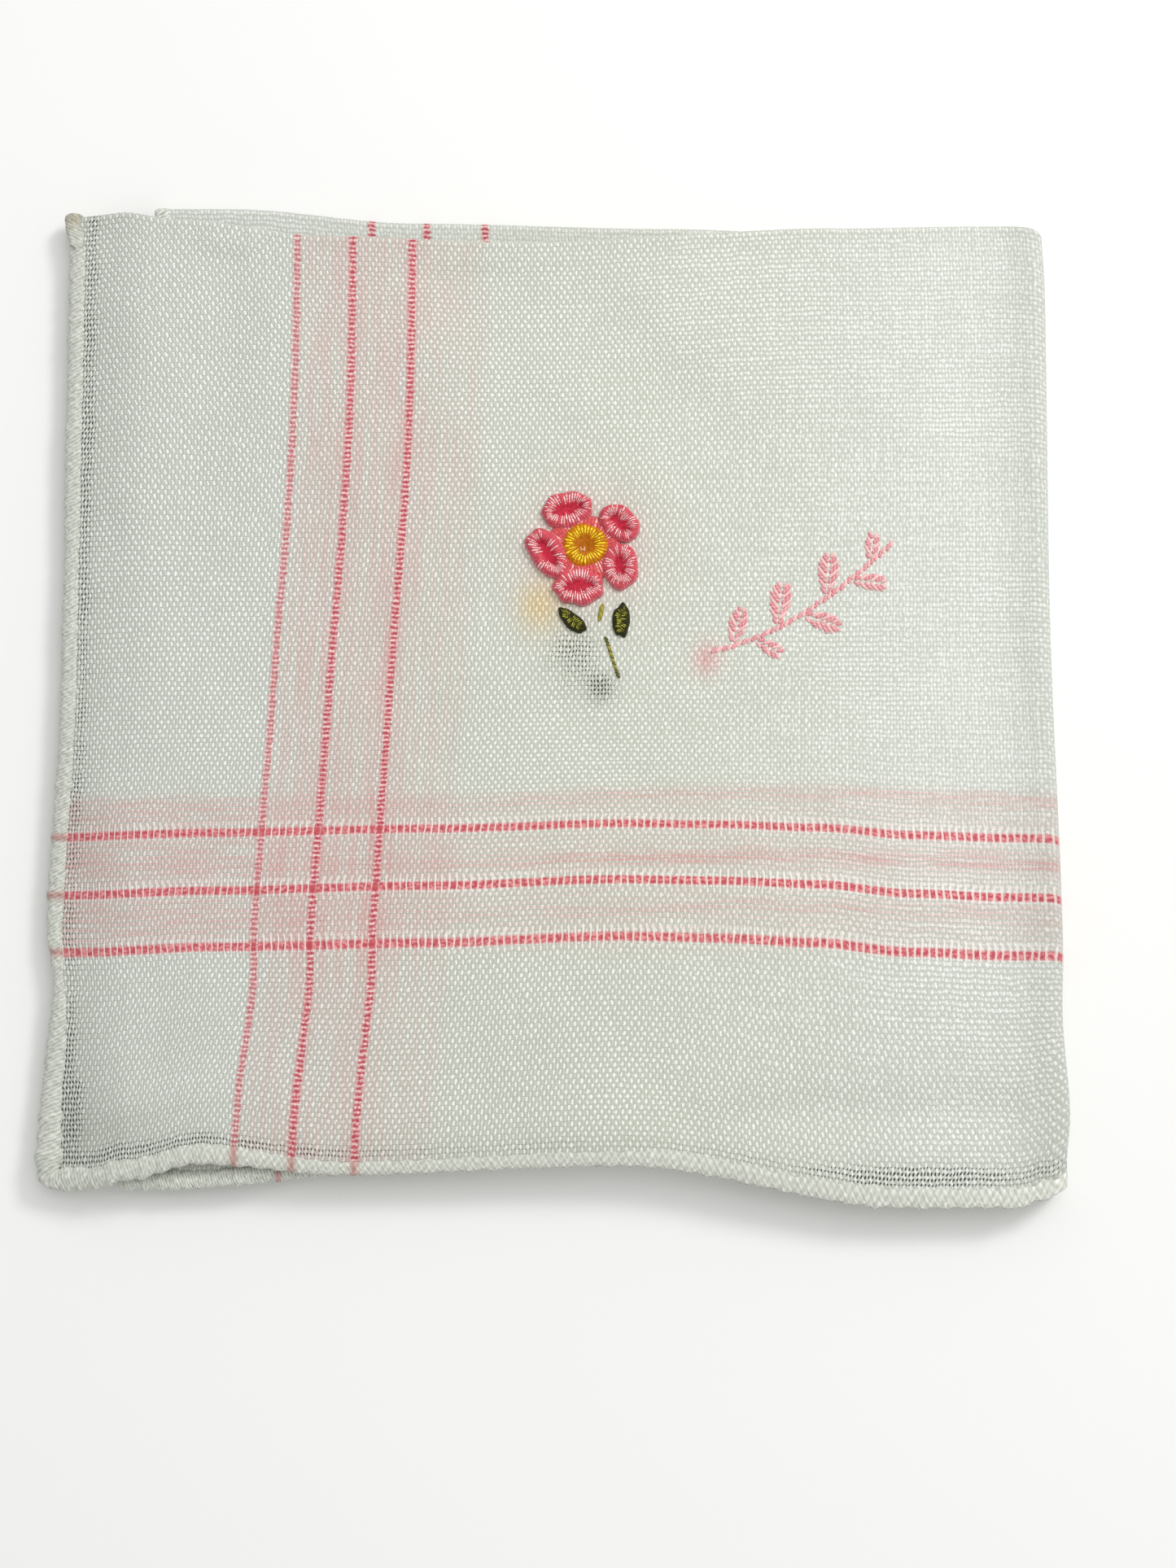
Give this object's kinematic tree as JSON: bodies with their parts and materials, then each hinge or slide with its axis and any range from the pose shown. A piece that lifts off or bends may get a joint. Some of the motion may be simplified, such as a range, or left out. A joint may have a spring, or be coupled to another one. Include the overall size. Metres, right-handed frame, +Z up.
{
  "type": "handkerchief",
  "caption": "Small square cotton handkerchief with rolled hems, corded stripes and an embroidered flower, folded twice into a quarter and lying flat.",
  "frame": {"origin": "middle of the bounding box, on the surface that the folded handkerchief lies on", "axes": "+Z up through the folded layers, +X from the open side hems to the second fold, +Y from the open lower hems to the first fold"},
  "size_m": [0.1418, 0.1424, 0.0078],
  "materials": {
    "cotton_lawn": "matte",
    "pink_thread": "satin",
    "yellow_thread": "satin",
    "green_thread": "satin"
  },
  "bodies": {
    "root": {"handkerchief": "cotton_lawn"}
  },
  "joints": []
}
